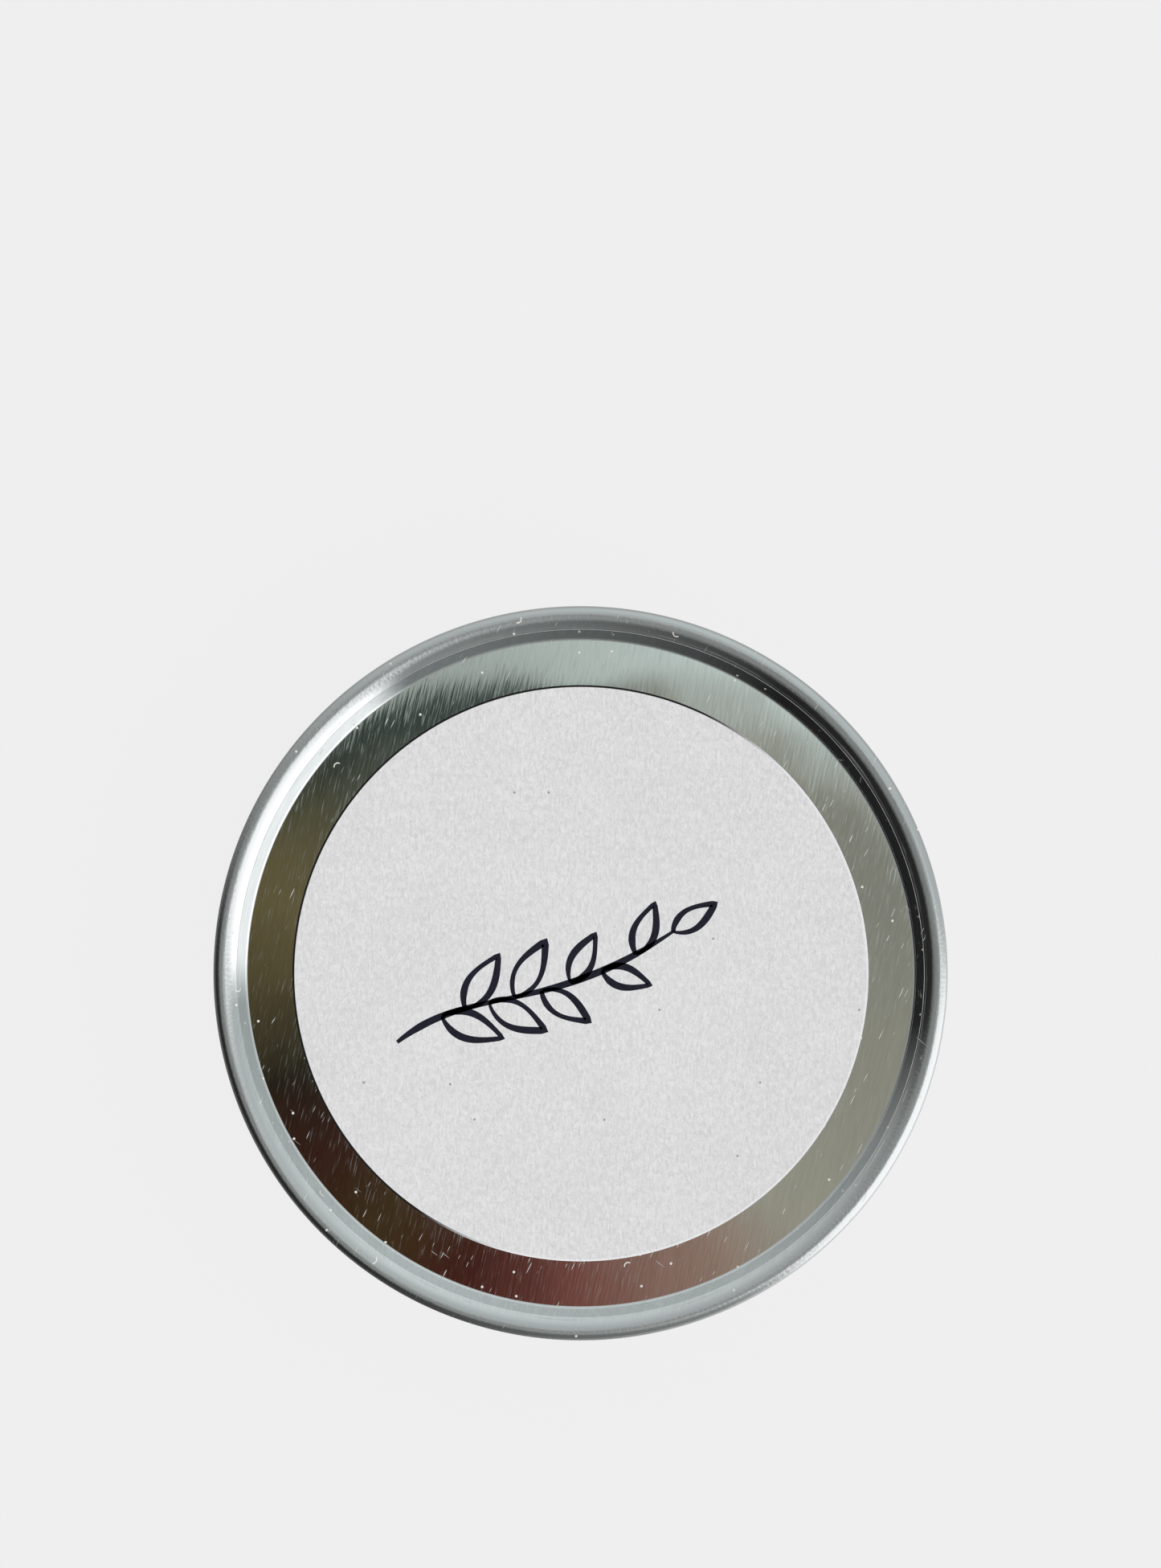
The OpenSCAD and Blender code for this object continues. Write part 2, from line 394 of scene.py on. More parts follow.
def tinplate(name, lean, drawn_from):
    """Tinplate whose rolling lines lean by an angle from +X, drawn beyond a distance from the
    blank's middle."""
    made, tree, surface = material(name)
    flat = node(tree, "Attribute", {"attribute_name": "blank"}).outputs["Vector"]
    place = node(tree, "TexCoord").outputs["Object"]

    def grain(way, lean, long, apart, shift, detail=1.0):
        turned_to = node(tree, "Mapping", {}, {
            "Vector": way, "Rotation": (0, 0, math.radians(-lean))}).outputs[0]
        scaled = node(tree, "Mapping", {}, {
            "Vector": turned_to, "Location": (shift, shift, 0), "Scale": (1 / long, 1 / apart, 1)}).outputs[0]
        return node(tree, "TexNoise", {}, {"Vector": scaled, "Scale": 1.0, "Detail": detail}).outputs[0]

    fine = grain(flat, lean, line_long, line_apart, 0)
    broad = grain(flat, lean, streak_long, streak_apart, 7.3)
    hair = grain(flat, lean, hair_long, hair_apart, 4.1)
    hair = node(tree, "MapRange", {}, {"Value": hair, "From Min": 0.58, "From Max": 0.74}).outputs[0]
    warp = node(tree, "TexNoise", {}, {"Vector": place, "Scale": 1 / warp_apart, "Detail": 1}).outputs[0]
    upright = node(tree, "Mapping", {}, {
        "Vector": place, "Scale": (1 / die_apart, 1 / die_apart, 1 / die_long)}).outputs[0]
    die = node(tree, "TexNoise", {}, {"Vector": upright, "Scale": 1.0, "Detail": 1}).outputs[0]
    out = node(tree, "VectorMath", {"operation": "LENGTH"}, {0: flat}).outputs["Value"]
    drawn = node(tree, "MapRange", {"interpolation_type": "SMOOTHSTEP"}, {
        "Value": out, "From Min": drawn_from, "From Max": drawn_from + 0.8 * mm}).outputs[0]
    undrawn = node(tree, "Math", {"operation": "SUBTRACT"}, {0: 1.0, 1: drawn}).outputs[0]
    hair = node(tree, "Math", {"operation": "MULTIPLY"}, {0: hair, 1: undrawn}).outputs[0]
    around = node(tree, "VectorMath", {"operation": "NORMALIZE"}, {0: flat}).outputs[0]
    around = node(tree, "VectorMath", {"operation": "SCALE"}, {0: around, "Scale": rim_turns}).outputs[0]
    level = node(tree, "Math", {"operation": "DIVIDE"}, {0: out, 1: rim_apart}).outputs[0]
    rolled = node(tree, "VectorMath", {"operation": "ADD"}, {
        0: around, 1: node(tree, "CombineXYZ", {}, {2: level}).outputs[0]}).outputs[0]
    rolled = node(tree, "TexNoise", {}, {"Vector": rolled, "Scale": 1.0, "Detail": 2}).outputs[0]
    rim_from, rim_to = drawn_from - 1.8 * mm, drawn_from + 2.6 * mm
    on_rim = node(tree, "MapRange", {}, {
        "Value": out, "From Min": rim_from, "From Max": rim_from + 0.3 * mm}).outputs[0]
    past_rim = node(tree, "MapRange", {}, {
        "Value": out, "From Min": rim_to, "From Max": rim_to - 0.5 * mm}).outputs[0]
    on_rim = node(tree, "Math", {"operation": "MULTIPLY"}, {0: on_rim, 1: past_rim}).outputs[0]

    # Scratches are the few crests of long thin noise, in two directions that handling favours.
    marks = []
    for way, long, shift, keep in ((64, 2.5 * mm, 3.1, 0.735), (-38, 4 * mm, 9.7, 0.78)):
        crest = grain(flat, way, long, scratch_apart, shift)
        marks.append(node(tree, "MapRange", {}, {
            "Value": crest, "From Min": keep, "From Max": keep + 0.04}).outputs[0])
    scratch = node(tree, "Math", {"operation": "MAXIMUM"}, {0: marks[0], 1: marks[1]}).outputs[0]

    # Dust is a speck in a few of the cells of a 3.5 mm spacing, and lint a short bent fibre in a
    # few of an 8 mm one: an arc 0.8 mm across, drawn 0.1 mm wide.
    cells = node(tree, "TexVoronoi", {"voronoi_dimensions": "2D"}, {
        "Vector": flat, "Scale": 1 / speck_apart})
    near = node(tree, "MapRange", {}, {
        "Value": cells.outputs["Distance"], "From Min": 0.044, "From Max": 0.03}).outputs[0]
    pick = node(tree, "SeparateXYZ", {}, {0: cells.outputs["Color"]}).outputs[0]
    pick = node(tree, "Math", {"operation": "GREATER_THAN"}, {0: pick, 1: 0.82}).outputs[0]
    speck = node(tree, "Math", {"operation": "MULTIPLY"}, {0: near, 1: pick}).outputs[0]
    cells = node(tree, "TexVoronoi", {"voronoi_dimensions": "2D"}, {
        "Vector": flat, "Scale": 1 / lint_apart})
    arm = node(tree, "VectorMath", {"operation": "SUBTRACT"}, {
        0: flat, 1: cells.outputs["Position"]}).outputs[0]
    reach = node(tree, "VectorMath", {"operation": "LENGTH"}, {0: arm}).outputs["Value"]
    off = node(tree, "Math", {"operation": "SUBTRACT"}, {0: reach, 1: 0.4 * mm}).outputs[0]
    off = node(tree, "Math", {"operation": "ABSOLUTE"}, {0: off}).outputs[0]
    line = node(tree, "MapRange", {}, {
        "Value": off, "From Min": 0.07 * mm, "From Max": 0.045 * mm}).outputs[0]
    pick = node(tree, "SeparateXYZ", {}, {0: cells.outputs["Color"]}).outputs
    facing = node(tree, "Math", {"operation": "MULTIPLY"}, {0: pick[0], 1: math.tau}).outputs[0]
    arm = node(tree, "VectorRotate", {"rotation_type": "Z_AXIS"}, {"Vector": arm, "Angle": facing}).outputs[0]
    half = node(tree, "SeparateXYZ", {}, {0: arm}).outputs[0]
    half = node(tree, "Math", {"operation": "GREATER_THAN"}, {0: half, 1: 0.15 * mm}).outputs[0]
    pick = node(tree, "Math", {"operation": "GREATER_THAN"}, {0: pick[1], 1: 0.75}).outputs[0]
    lint = node(tree, "Math", {"operation": "MULTIPLY"}, {0: line, 1: half}).outputs[0]
    lint = node(tree, "Math", {"operation": "MULTIPLY"}, {0: lint, 1: pick}).outputs[0]
    dust = node(tree, "Math", {"operation": "MAXIMUM"}, {0: speck, 1: lint}).outputs[0]
    burr = node(tree, "Math", {"operation": "MULTIPLY"}, {0: scratch, 1: 0.5}).outputs[0]
    dust = node(tree, "Math", {"operation": "MAXIMUM"}, {0: dust, 1: burr}).outputs[0]

    streaks = node(tree, "Mix", {}, {0: 0.6, 2: broad, 3: fine}).outputs[0]
    streaks = node(tree, "Mix", {}, {0: drawn, 2: streaks, 3: 0.5}).outputs[0]
    tone = node(tree, "ValToRGB", {"stops": [
        (0.3, colour("#d7d9d9")), (0.7, colour("#e2e4e4"))]}, {0: streaks}).outputs[0]
    tone = node(tree, "Mix", {"data_type": "RGBA", "blend_type": "MULTIPLY"}, {
        0: drawn, 6: tone, 7: colour("#ededed")}).outputs[2]
    tone = node(tree, "Mix", {"data_type": "RGBA"}, {0: dust, 6: tone, 7: colour("#e6e4dc")}).outputs[2]
    gloss = node(tree, "MapRange", {}, {
        "Value": streaks, "From Min": 0.3, "From Max": 0.7, "To Min": 0.028, "To Max": 0.045}).outputs[0]
    for amount, more in ((hair, 0.08), (drawn, 0.2), (scratch, 0.15), (dust, 0.6)):
        gloss = node(tree, "Math", {"operation": "MULTIPLY_ADD"}, {0: amount, 1: more, 2: gloss}).outputs[0]
    metal = node(tree, "Math", {"operation": "SUBTRACT"}, {0: 1.0, 1: dust}).outputs[0]

    bump = node(tree, "Bump", {}, {"Strength": drawn, "Distance": 0.014 * mm, "Height": die}).outputs[0]
    for height, deep, strength in (
            (rolled, 0.014, on_rim), (fine, 0.0015, undrawn), (broad, 0.0011, undrawn),
            (warp, 0.06, 1.0), (scratch, 0.003, 1.0)):
        bump = node(tree, "Bump", {}, {
            "Strength": strength, "Distance": deep * mm, "Height": height, "Normal": bump}).outputs[0]
    for socket, value in (("Base Color", tone), ("Roughness", gloss), ("Metallic", metal), ("Normal", bump)):
        tree.links.new(value, surface.inputs[socket])
    return made


cup.data.materials.append(tinplate("bright tinplate, drawn", 12, 37 * mm))
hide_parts("tin_cup")
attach(cup, "cup")


# ---------------------------------------------------------------------------------------------
# Lid. A shallow pressing of the same tinplate: the skirt slips over the cup and is hemmed in at
# its edge, the rim is rolled over and the panel sunk behind a short ledge and a steep wall.
lid_gap = 0.13 * mm
rim_w = 3.6 * mm
hem_bend, hem_rise = (tin + 0.16 * mm) / 2, 2 * mm
shoulder_bend = 0.85 * mm
crown_bend, crown_slope = 1.6 * mm, 48
ledge_bend, ledge_slope, ledge_w = 0.3 * mm, 25, 0.1 * mm
wall_slope, panel_bend = 62, 0.5 * mm
rolling_lean = 77

hem_z = lid_low.z + tin / 2 + hem_bend
skirt_r = wall_r + tin / 2 + lid_gap + tin / 2 + 2 * hem_bend
panel_r = skirt_r + tin / 2 - rim_w
lid_start = [skirt_r - 2 * hem_bend, hem_z + hem_rise, -90, 0]
crown_moves = [
    [hem_rise, 0],
    [hem_bend, 180],
    [lid_high.z - tin / 2 - shoulder_bend - hem_z, 0],
    [shoulder_bend, 90],
    [crown_bend, crown_slope],
    [ledge_bend, ledge_slope - crown_slope],
    [ledge_w, 0],
    [ledge_bend, wall_slope - ledge_slope],
]
crown_end = press_line(lid_start, crown_moves)[-1]
slope = math.radians(wall_slope)
wall_len = (crown_end[0] - panel_r - panel_bend * math.sin(slope)) / math.cos(slope)
lid_line = press_line(
    lid_start, crown_moves + [[wall_len, 0], [panel_bend, -wall_slope], [panel_r, 0]], 4.0)
lid_line[-1][0] = 0.0            # the panel ends on the axis, without the last trace of rounding
lid = turned("lid_shell", sheet_section(lid_line, tin, lid_line[-1][3]))
lid.data.materials.append(tinplate("bright tinplate, pressed", rolling_lean, 39 * mm))
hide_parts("lid")
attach(lid, "lid")


# ---------------------------------------------------------------------------------------------
# Lid label. A round die-cut label of uncoated, slightly fibrous paper, stuck flat in the middle
# of the panel. Its cut edge shows as a thin line of painted shade on one side and painted
# highlight on the other.
def outline(corners, edge=0.02 * mm):
    """A closed outline with normals, from [radius, height] corners, with a small edge cut off
    the sharp ones."""
    found = []
    for i, (r, z) in enumerate(corners):
        here = Vector((r, z))
        back = here - Vector(corners[i - 1])
        on = Vector(corners[(i + 1) % len(corners)]) - here
        if r < 1e-7:
            run = on if on.x > 0 else back
            found.append((here, run.normalized()))
        elif back.angle(on) > math.radians(30):
            found.append((here - back.normalized() * edge, back.normalized()))
            found.append((here + on.normalized() * edge, on.normalized()))
        else:
            found.append((here, (back.normalized() + on.normalized()).normalized()))
    return [[p.x, p.y, run.y, -run.x, p.x] for p, run in found]


label_r = (label_high.x - label_low.x) / 2
label = turned("label", outline([
    (0, label_low.z), (label_r, label_low.z), (label_r, label_high.z), (0, label_high.z)]))

# Uncoated paper: matte off-white. Fibres clump into a faint mottle about 0.5 mm apart, and a few
# darker flecks lie in it. The cut edge carries a thin painted line: near-black painted shade on
# the left side, and a painted highlight, a little whiter than the paper, on the other side.
def paper(name, light, middle, dark, edge_r):
    made, tree, surface = material(name)
    place = node(tree, "TexCoord").outputs["Object"]
    clumps = node(tree, "TexNoise", {}, {
        "Vector": place, "Scale": 1 / (0.5 * mm), "Detail": 5,
        "Roughness": 0.7, "Distortion": 0.8}).outputs[0]
    clouds = node(tree, "TexNoise", {}, {"Vector": place, "Scale": 1 / (9 * mm), "Detail": 2}).outputs[0]
    laid = node(tree, "Mapping", {}, {
        "Vector": place, "Scale": (1 / (0.3 * mm), 1 / (0.9 * mm), 1)}).outputs[0]
    fibres = node(tree, "TexNoise", {}, {
        "Vector": laid, "Scale": 1.0, "Detail": 1, "Distortion": 0.6}).outputs[0]
    mottle = node(tree, "Math", {"operation": "MULTIPLY_ADD"}, {0: clouds, 1: 0.2, 2: clumps}).outputs[0]
    mottle = node(tree, "Math", {"operation": "MULTIPLY_ADD"}, {0: fibres, 1: 0.5, 2: mottle}).outputs[0]
    tone = node(tree, "ValToRGB", {"stops": [
        (0.65, colour(dark)), (0.85, colour(middle)), (1.0, colour(light))]}, {0: mottle}).outputs[0]
    cells = node(tree, "TexVoronoi", {"voronoi_dimensions": "2D"}, {"Vector": place, "Scale": 1 / (4 * mm)})
    near = node(tree, "MapRange", {}, {
        "Value": cells.outputs["Distance"], "From Min": 0.04, "From Max": 0.02}).outputs[0]
    pick = node(tree, "SeparateXYZ", {}, {0: cells.outputs["Color"]}).outputs[1]
    pick = node(tree, "Math", {"operation": "GREATER_THAN"}, {0: pick, 1: 0.93}).outputs[0]
    fleck = node(tree, "Math", {"operation": "MULTIPLY"}, {0: near, 1: pick}).outputs[0]
    tone = node(tree, "Mix", {"data_type": "RGBA"}, {
        0: fleck, 6: tone, 7: colour("#9a958c")}).outputs[2]
    flat = node(tree, "VectorMath", {"operation": "MULTIPLY"}, {0: place, 1: (1, 1, 0)}).outputs[0]
    out = node(tree, "VectorMath", {"operation": "LENGTH"}, {0: flat}).outputs["Value"]
    # The edge ring is painted light: a near-black painted shade on the left, a whiter painted highlight on
    # the right.
    rim = node(tree, "MapRange", {}, {
        "Value": out, "From Min": edge_r - 0.25 * mm, "From Max": edge_r - 0.19 * mm}).outputs[0]
    side = node(tree, "VectorMath", {"operation": "DOT_PRODUCT"}, {
        0: flat, 1: (-0.87, 0.5, 0)}).outputs["Value"]
    side = node(tree, "MapRange", {"interpolation_type": "SMOOTHSTEP"}, {
        "Value": side, "From Min": -0.3 * edge_r, "From Max": 0.1 * edge_r}).outputs[0]
    painted_edge_shade_and_highlight = node(tree, "Mix", {"data_type": "RGBA"}, {
        0: side, 6: colour("#f1f1f1"), 7: colour("#141311")}).outputs[2]
    tone = node(tree, "Mix", {"data_type": "RGBA"}, {0: rim, 6: tone, 7: painted_edge_shade_and_highlight}).outputs[2]
    bump = node(tree, "Bump", {}, {
        "Strength": 1.0, "Distance": 0.08 * mm, "Height": mottle}).outputs[0]
    tree.links.new(tone, surface.inputs["Base Color"])
    tree.links.new(bump, surface.inputs["Normal"])
    surface.inputs["Roughness"].default_value = 0.85
    surface.inputs["Specular IOR Level"].default_value = 0.25
    return made


label.data.materials.append(paper("uncoated label paper", "#ebeaea", "#e3e2e2", "#d9d8d8", label_r))
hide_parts("lid_label")
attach(label, "lid")


# ---------------------------------------------------------------------------------------------
# Mark on the label. A sprig drawn with one pen and printed in blue-black ink, left of the
# middle. The stem is one long stroke, and each leaf is a loop that leaves it and comes back.
ink_t = 0.012 * mm
pen_w = 0.8 * mm
sprig_from, sprig_pull = Vector((-20.2, -7.6)) * mm, Vector((-12.0, -1.0)) * mm
sprig_push, sprig_to = Vector((-4.0, -5.0)) * mm, Vector((10.2, 4.6)) * mm
leaf_count = 9
leaf_half = 0.2                 # half a leaf's width over its length
rng = random.Random(4)


def stem(t):
    """A point on the stem, from 0 at its cut end to 1 at its tip."""
    u = 1 - t
    return (u ** 3 * sprig_from + 3 * u * u * t * sprig_pull
            + 3 * u * t * t * sprig_push + t ** 3 * sprig_to)


def stroke(line, heavy):
    """Points and half-widths of a pen stroke along a line, thin where the pen lands and lifts."""
    count = len(line)
    found = []
    for i, p in enumerate(line):
        t = i / (count - 1)
        press = min(1, 0.6 + 4 * t, 0.6 + 4 * (1 - t))
        press *= 0.82 + 0.18 * math.sin(3.1 * math.pi * t + heavy)
        found.append((p, pen_w / 2 * press))
    return found


strokes = [stroke([stem(i / 60) for i in range(61)], 0.4)]
for k in range(leaf_count):
    t = 0.2 + 0.8 * k / (leaf_count - 1)
    base = stem(t)
    ahead = (stem(min(t, 0.98) + 0.02) - stem(min(t, 0.98))).normalized()
    side = 0 if k == leaf_count - 1 else (1 if k % 2 else -1)
    lean = math.radians(side * rng.uniform(38, 50))
    way = Vector((ahead.x * math.cos(lean) - ahead.y * math.sin(lean),
                  ahead.x * math.sin(lean) + ahead.y * math.cos(lean)))
    over = Vector((-way.y, way.x))
    long = (8.2 - 2.8 * t) * mm * rng.uniform(0.92, 1.06)
    loop = []
    for i in range(41):
        u = i / 20 if i <= 20 else (40 - i) / 20
        out = 1 if i <= 20 else -1
        bow = leaf_half * long * math.sin(math.pi * u ** 0.8) * out
        loop.append(base + way * long * u + over * bow)
    strokes.append(stroke(loop, k))

points, faces = [], []
for line in strokes:
    first = len(points)
    for i, (p, half) in enumerate(line):
        q, o = line[min(i + 1, len(line) - 1)][0], line[max(i - 1, 0)][0]
        run = (q - o).normalized()
        aside = Vector((-run.y, run.x)) * half
        for corner, high in ((p + aside, 0), (p + aside, ink_t), (p - aside, ink_t), (p - aside, 0)):
            points.append((corner.x, corner.y, label_high.z - ink_t / 3 + high))
    for i in range(len(line) - 1):
        a, b = first + 4 * i, first + 4 * (i + 1)
        faces += [(a + j, a + (j + 1) % 4, b + (j + 1) % 4, b + j) for j in range(4)]
    last = first + 4 * (len(line) - 1)
    faces += [(first + 3, first + 2, first + 1, first), (last, last + 1, last + 2, last + 3)]
mark_mesh = bpy.data.meshes.new("pen_sprig")
mark_mesh.from_pydata(points, [], faces)
mark = bpy.data.objects.new("pen_sprig", mark_mesh)
bpy.context.scene.collection.objects.link(mark)

# Printing ink: soaked into the paper, so it is matte and a little uneven.
ink, tree, surface = material("blue-black printing ink")
place = node(tree, "TexCoord").outputs["Object"]
soak = node(tree, "TexNoise", {}, {"Vector": place, "Scale": 1 / (0.4 * mm), "Detail": 3}).outputs[0]
tone = node(tree, "ValToRGB", {"stops": [
    (0.3, colour("#15151f")), (0.7, colour("#20202e"))]}, {0: soak}).outputs[0]
tree.links.new(tone, surface.inputs["Base Color"])
surface.inputs["Roughness"].default_value = 0.7
surface.inputs["Specular IOR Level"].default_value = 0.2
mark.data.materials.append(ink)
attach(mark, "lid")


# ---------------------------------------------------------------------------------------------
# Base label. A smaller round of the same paper, stuck up inside the tin's raised base.
under_low, under_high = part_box("base_label")
under_r = (under_high.x - under_low.x) / 2
under = turned("base_round", outline([
    (0, under_low.z), (under_r, under_low.z), (under_r, under_high.z), (0, under_high.z)]), 192)
under.data.materials.append(paper("uncoated paper, base", "#e4e2dd", "#dedcd7", "#d6d4ce", under_r))
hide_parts("base_label")
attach(under, "cup")


# ---------------------------------------------------------------------------------------------
# Wick sticker. A die-cut disc of white polyethylene foam, sticky on both faces, that holds the
# tab down while the wax is poured.
foam_low, foam_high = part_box("wick_sticker")
foam_r = (foam_high.x - foam_low.x) / 2
foam = turned("foam_disc", outline([
    (0, foam_low.z), (foam_r, foam_low.z), (foam_r, foam_high.z), (0, foam_high.z)]), 128)

# Closed-cell foam: soft white, with bubbles of about 0.3 mm cut open at its edge.
white, tree, surface = material("closed-cell white foam")
place = node(tree, "TexCoord").outputs["Object"]
bubbles = node(tree, "TexVoronoi", {"feature": "SMOOTH_F1"}, {
    "Vector": place, "Scale": 1 / (0.3 * mm)}).outputs["Distance"]
tone = node(tree, "ValToRGB", {"stops": [
    (0.1, colour("#dcdcd8")), (0.6, colour("#f3f3f0"))]}, {0: bubbles}).outputs[0]
bump = node(tree, "Bump", {}, {"Strength": 0.8, "Distance": 0.06 * mm, "Height": bubbles}).outputs[0]
tree.links.new(tone, surface.inputs["Base Color"])
tree.links.new(bump, surface.inputs["Normal"])
surface.inputs["Roughness"].default_value = 0.75
foam.data.materials.append(white)
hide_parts("wick_sticker")
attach(foam, "cup")


# ---------------------------------------------------------------------------------------------
# Wick tab. A round of thin zinc-plated steel, with a neck pressed up out of it that grips the
# wick. It stands on the foam disc, under the wax.
tab_low, tab_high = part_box("wick_tab")
braid_low, braid_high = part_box("wick_braid")
tab_t, neck_bend, gap = 0.3 * mm, 0.6 * mm, 0.03 * mm
tab_r = (tab_high.x - tab_low.x) / 2
braid_r = (braid_high.x - braid_low.x) / 2
neck_r = braid_r + gap + tab_t / 2
tab_line = press_line([tab_r, tab_low.z + tab_t / 2, 180, 0], [
    [tab_r - neck_r - neck_bend, 0],
    [neck_bend, -90],
    [tab_high.z - tab_low.z - tab_t / 2 - neck_bend, 0],
])
tab = turned("tab_pressing", sheet_section(tab_line, tab_t), 128)

# Zinc-plated steel: cooler and duller than the tinplate, with a fine spangle 1.5 mm across and
# press marks that run round the neck.
zinc, tree, surface = material("zinc-plated steel")
place = node(tree, "TexCoord").outputs["Object"]
spangle = node(tree, "TexVoronoi", {}, {"Vector": place, "Scale": 1 / (1.5 * mm)}).outputs["Color"]
cloud = node(tree, "TexNoise", {}, {"Vector": place, "Scale": 1 / (2 * mm), "Detail": 3}).outputs[0]
stretched = node(tree, "Mapping", {}, {"Vector": place, "Scale": (80, 80, 4000)}).outputs[0]
rings = node(tree, "TexNoise", {}, {"Vector": stretched, "Scale": 1.0, "Detail": 1}).outputs[0]
level = node(tree, "SeparateXYZ", {}, {0: spangle}).outputs[0]
level = node(tree, "Math", {"operation": "MULTIPLY_ADD"}, {0: level, 1: 0.5, 2: cloud}).outputs[0]
tone = node(tree, "ValToRGB", {"stops": [
    (0.35, colour("#b9bdc0")), (1.0, colour("#d0d3d5"))]}, {0: level}).outputs[0]
gloss = node(tree, "MapRange", {}, {"Value": level, "To Min": 0.26, "To Max": 0.38}).outputs[0]
bump = node(tree, "Bump", {}, {"Strength": 0.6, "Distance": 0.01 * mm, "Height": rings}).outputs[0]
for socket, value in (("Base Color", tone), ("Roughness", gloss), ("Normal", bump)):
    tree.links.new(value, surface.inputs[socket])
surface.inputs["Metallic"].default_value = 1.0
tab.data.materials.append(zinc)
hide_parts("wick_tab")
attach(tab, "cup")


# ---------------------------------------------------------------------------------------------
# Wick core. Three thin cords of cotton and paper, twisted together, that keep the wick upright.
def cord(points, faces, path, wide, thick, sides=10):
    """Adds a closed strand along a path of (place, direction), wide round the axis and thick
    away from it."""
    first = len(points)
    for place, ahead in path:
        outward = Vector((place.x, place.y, 0)).normalized()
        round_axis = ahead.cross(outward).normalized()
        outward = round_axis.cross(ahead)
        for i in range(sides):
            a = math.tau * i / sides
            aside = round_axis * (wide / 2 * math.cos(a)) + outward * (thick / 2 * math.sin(a))
            points.append(place + aside)
    for k in range(len(path) - 1):
        for i in range(sides):
            j = (i + 1) % sides
            a, b = first + k * sides, first + (k + 1) * sides
            faces.append((a + i, a + j, b + j, b + i))
    last = first + (len(path) - 1) * sides
    faces.append(tuple(first + i for i in reversed(range(sides))))
    faces.append(tuple(last + i for i in range(sides)))


def stranded(name, points, faces):
    """An object from the cords' points and faces, shaded smooth but for the cut ends."""
    mesh = bpy.data.meshes.new(name)
    mesh.from_pydata(points, [], faces)
    for face in mesh.polygons:
        face.use_smooth = len(face.vertices) == 4
    made = bpy.data.objects.new(name, mesh)
    bpy.context.scene.collection.objects.link(made)
    return made


def helix(radius, pitch, start, low, high, swing=0.0, swings=0, per_turn=40):
    """A path round the axis from low to high, which may swing in and out a number of times per
    turn."""
    steps = math.ceil((high - low) / abs(pitch) * per_turn)
    places = []
    for k in range(steps + 1):
        z = low + (high - low) * k / steps
        a = start + math.tau * (z - low) / pitch
        r = radius + swing * math.cos(swings * (a - start))
        places.append(Vector((r * math.cos(a), r * math.sin(a), z)))
    aheads = [(places[min(k + 1, steps)] - places[max(k - 1, 0)]).normalized()
              for k in range(steps + 1)]
    return list(zip(places, aheads))


core_low, core_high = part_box("wick_core")
core_r = (core_high.x - core_low.x) / 2
cords, cord_pitch = 3, 3.2 * mm
cord_w = core_r * 0.9
core_end = 0.1 * mm             # how far the cords stop short of the core's ends
points, faces = [], []
for k in range(cords):
    path = helix(core_r * 0.53, cord_pitch, math.tau * k / cords,
                 core_low.z + core_end, core_high.z - core_end, per_turn=20)
    cord(points, faces, path, cord_w, cord_w, 8)
core = stranded("core_cords", points, faces)


# Waxed fibre: spun threads of about 0.15 mm that run along the strand, dulled by a film of wax.
def fibre(name, pale, deep):
    made, tree, surface = material(name)
    place = node(tree, "TexCoord").outputs["Object"]
    upward = node(tree, "Mapping", {}, {"Vector": place, "Scale": (1, 1, 0.3)}).outputs[0]
    threads = node(tree, "TexNoise", {}, {
        "Vector": upward, "Scale": 1 / (0.15 * mm), "Detail": 2}).outputs[0]
    soaked = node(tree, "TexNoise", {}, {"Vector": place, "Scale": 1 / (1.6 * mm), "Detail": 2}).outputs[0]
    level = node(tree, "Math", {"operation": "MULTIPLY_ADD"}, {0: soaked, 1: 0.6, 2: threads}).outputs[0]
    tone = node(tree, "ValToRGB", {"stops": [
        (0.55, colour(deep)), (0.95, colour(pale))]}, {0: level}).outputs[0]
    bump = node(tree, "Bump", {}, {
        "Strength": 0.7, "Distance": 0.03 * mm, "Height": threads}).outputs[0]
    tree.links.new(tone, surface.inputs["Base Color"])
    tree.links.new(bump, surface.inputs["Normal"])
    surface.inputs["Roughness"].default_value = 0.6
    surface.inputs["Sheen Weight"].default_value = 0.15
    return made


core.data.materials.append(fibre("waxed paper and cotton cord", "#e2dccb", "#cfc7b2"))
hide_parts("wick_core")
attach(core, "cup")


# ---------------------------------------------------------------------------------------------
# Wick braid. Eight flat cotton strands, four each way round, that pass over and under each other
# around the core. It was dipped in wax, and is cut off at both ends.
strand_pitch = 7 * mm
strands_each_way = 4
wall = braid_r - core_r - gap
strand_w, strand_t = 0.98 * mm, wall / 2 * 0.98
braid_end = 0.12 * mm           # how far the strands' middles stop short of the braid's ends
points, faces = [], []
for way in (1, -1):
    for k in range(strands_each_way):
        path = helix(core_r + gap + wall / 2, way * strand_pitch, math.tau * k / strands_each_way,
                     braid_low.z + braid_end, braid_high.z - braid_end,
                     way * (wall - strand_t) / 2, strands_each_way, 48)
        cord(points, faces, path, strand_w, strand_t, 12)
braid = stranded("braid_strands", points, faces)
braid.data.materials.append(fibre("waxed cotton braid", "#ede6d2", "#d6ccb2"))
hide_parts("wick_braid")
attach(braid, "cup")


# ---------------------------------------------------------------------------------------------
# Wax. Soy wax poured into the tin and left to set. It creeps up the tin's wall and the wick by a
# fraction of a millimetre, and its surface sinks between them.
wax_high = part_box("wax")[1]
wax_r = wall_r - tin / 2 - gap
hole_r = braid_r + gap
sink = 0.5 * mm
creep_wall, creep_wick = 1.3 * mm, 0.9 * mm


def wax_level(r):
    up_wall = math.exp((r - wax_r) / creep_wall)
    up_wick = 0.7 * math.exp((hole_r - r) / creep_wick)
    return wax_high.z - sink * (1 - min(1, up_wall + up_wick))


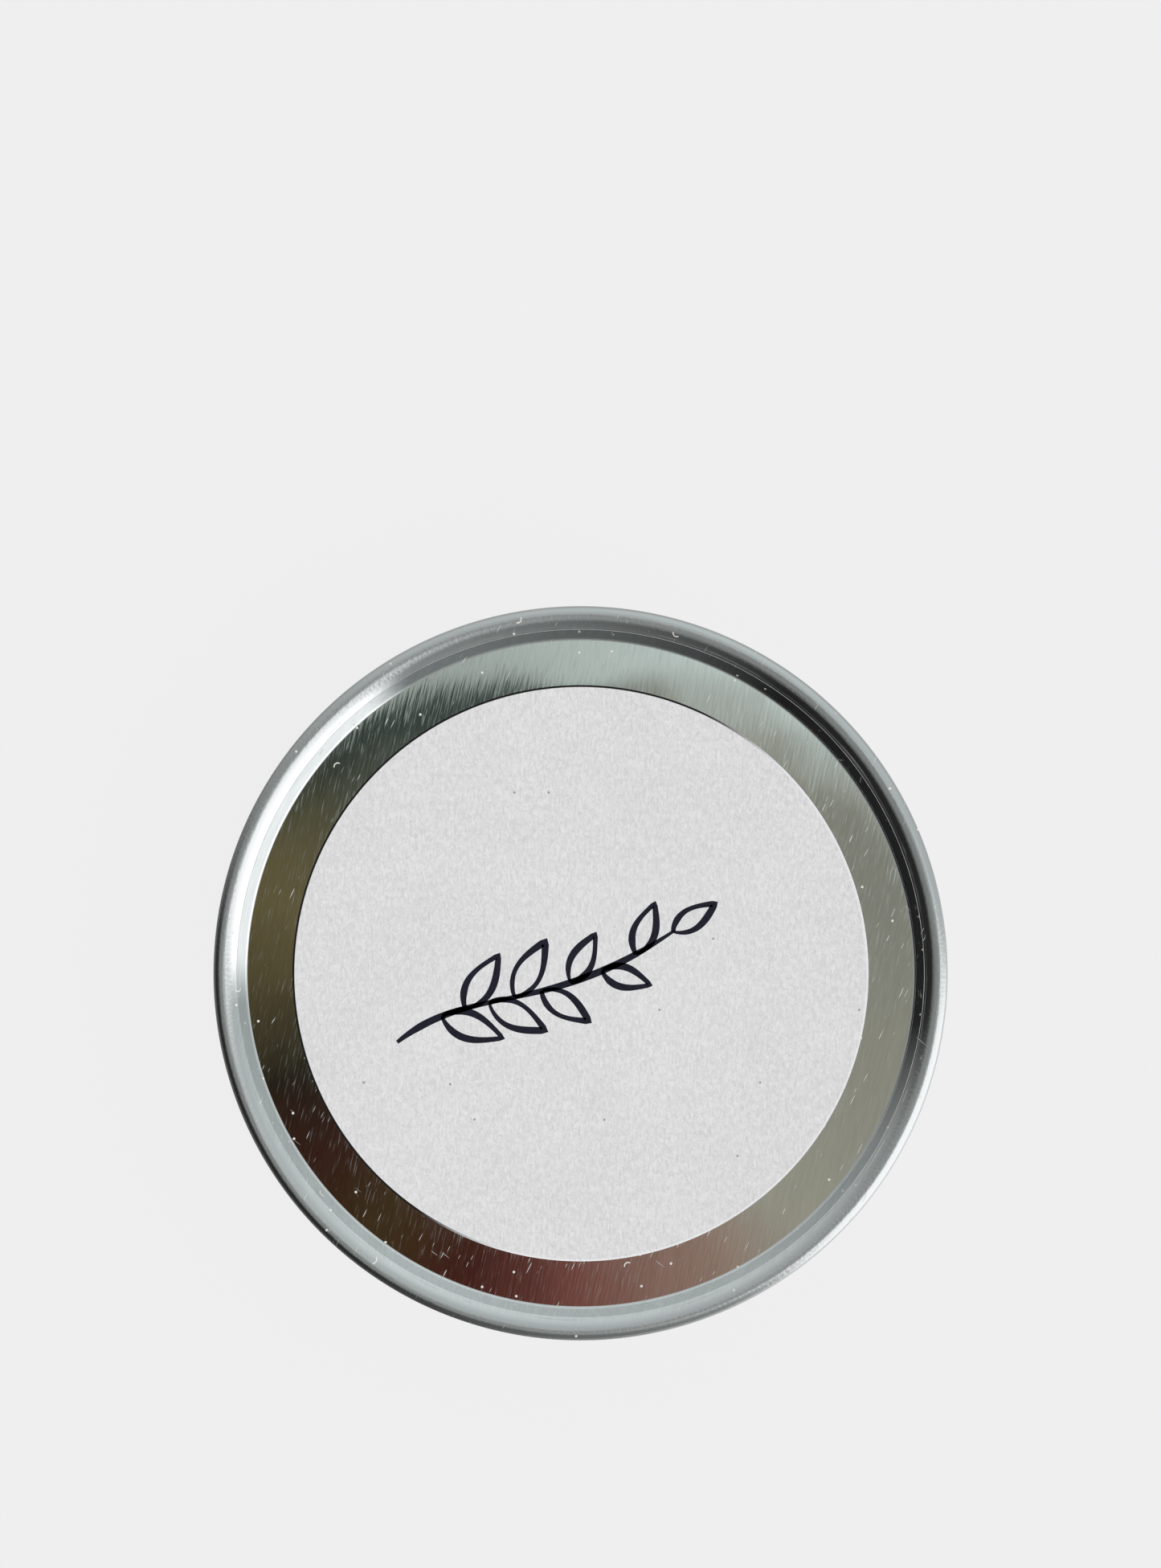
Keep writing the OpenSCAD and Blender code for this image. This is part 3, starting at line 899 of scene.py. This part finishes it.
tab_top = tab_high.z + gap
against_cup = [beside(p, 90, tin / 2 + gap)[:2] for p in cup_line
               if p[0] > tab_r + 1 * mm and p[1] < wax_high.z - 2 * mm]
against_tab = [beside(p, -90, tab_t / 2 + gap)[:2] for p in reversed(tab_line)]
rings = [wax_r + (hole_r - wax_r) * (0.5 - 0.5 * math.cos(math.pi * i / 60)) for i in range(61)]
wax = turned("wax_fill", outline(
    [(tab_r + gap, foam_low.z + gap)] + against_cup + [(r, wax_level(r)) for r in rings]
    + [(hole_r, tab_top), (against_tab[0][0], tab_top)] + against_tab[1:]
    + [(tab_r + gap, against_tab[-1][1])], 0.01 * mm), 192)

# Soy wax: creamy and slightly see-through, with pale frosting where it has crystallised in
# patches of a few millimetres, and small dimples left by air as it set.
soy, tree, surface = material("soy wax")
place = node(tree, "TexCoord").outputs["Object"]
frost = node(tree, "TexNoise", {}, {
    "Vector": place, "Scale": 1 / (6 * mm), "Detail": 6, "Roughness": 0.7, "Distortion": 1.2}).outputs[0]
swell = node(tree, "TexNoise", {}, {"Vector": place, "Scale": 1 / (11 * mm), "Detail": 1}).outputs[0]
grit = node(tree, "TexNoise", {}, {"Vector": place, "Scale": 1 / (0.5 * mm), "Detail": 3}).outputs[0]
cells = node(tree, "TexVoronoi", {"voronoi_dimensions": "2D"}, {"Vector": place, "Scale": 1 / (7 * mm)})
dimple = node(tree, "MapRange", {"interpolation_type": "SMOOTHSTEP"}, {
    "Value": cells.outputs["Distance"], "From Min": 0.02, "From Max": 0.09}).outputs[0]
patches = node(tree, "MapRange", {"interpolation_type": "SMOOTHSTEP"}, {
    "Value": frost, "From Min": 0.45, "From Max": 0.68}).outputs[0]
tone = node(tree, "Mix", {"data_type": "RGBA"}, {
    0: patches, 6: colour("#f3ead6"), 7: colour("#faf6ec")}).outputs[2]
gloss = node(tree, "MapRange", {}, {"Value": patches, "To Min": 0.32, "To Max": 0.55}).outputs[0]
bump = node(tree, "Bump", {}, {"Strength": 1.0, "Distance": 0.5 * mm, "Height": swell}).outputs[0]
for height, deep in ((frost, 0.06), (grit, 0.012), (dimple, 0.12)):
    bump = node(tree, "Bump", {}, {
        "Strength": 1.0, "Distance": deep * mm, "Height": height, "Normal": bump}).outputs[0]
for socket, value in (("Base Color", tone), ("Roughness", gloss), ("Normal", bump)):
    tree.links.new(value, surface.inputs[socket])
surface.inputs["Subsurface Weight"].default_value = 0.35
surface.inputs["Subsurface Radius"].default_value = (1.0, 0.8, 0.5)
surface.inputs["Subsurface Scale"].default_value = 2.5 * mm
wax.data.materials.append(soy)
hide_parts("wax")
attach(wax, "cup")
